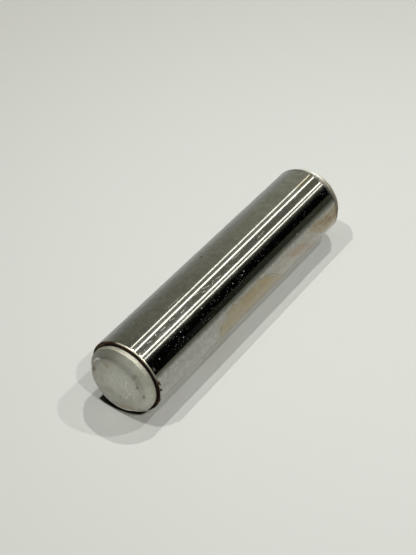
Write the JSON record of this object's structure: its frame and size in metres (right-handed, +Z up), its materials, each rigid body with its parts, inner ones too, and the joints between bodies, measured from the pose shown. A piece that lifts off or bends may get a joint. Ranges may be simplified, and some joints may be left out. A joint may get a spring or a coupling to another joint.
{
  "type": "piston pin",
  "caption": "Ground steel piston pin: a straight tube with a bevelled aluminium plug pressed into each end, standing upright on its lower plug.",
  "frame": {"origin": "centre of the lower plug's flat land, on the pin's axis, where the pin stands", "axes": "+Z up the axis of the tube, to the upper plug's flat land; the pin is round, so +X and +Y are free"},
  "size_m": [0.0234, 0.0234, 0.1022],
  "materials": {
    "ground_steel": "hardened steel, ground and lapped to a mirror, with oil stains along one side and brown rust on the end rims",
    "plug_aluminium": "turned aluminium, dull and handled, with faint rings, smears and brown stains"
  },
  "bodies": {
    "root": {"pin_tube": "ground_steel", "upper_plug": "plug_aluminium", "lower_plug": "plug_aluminium"}
  },
  "joints": []
}
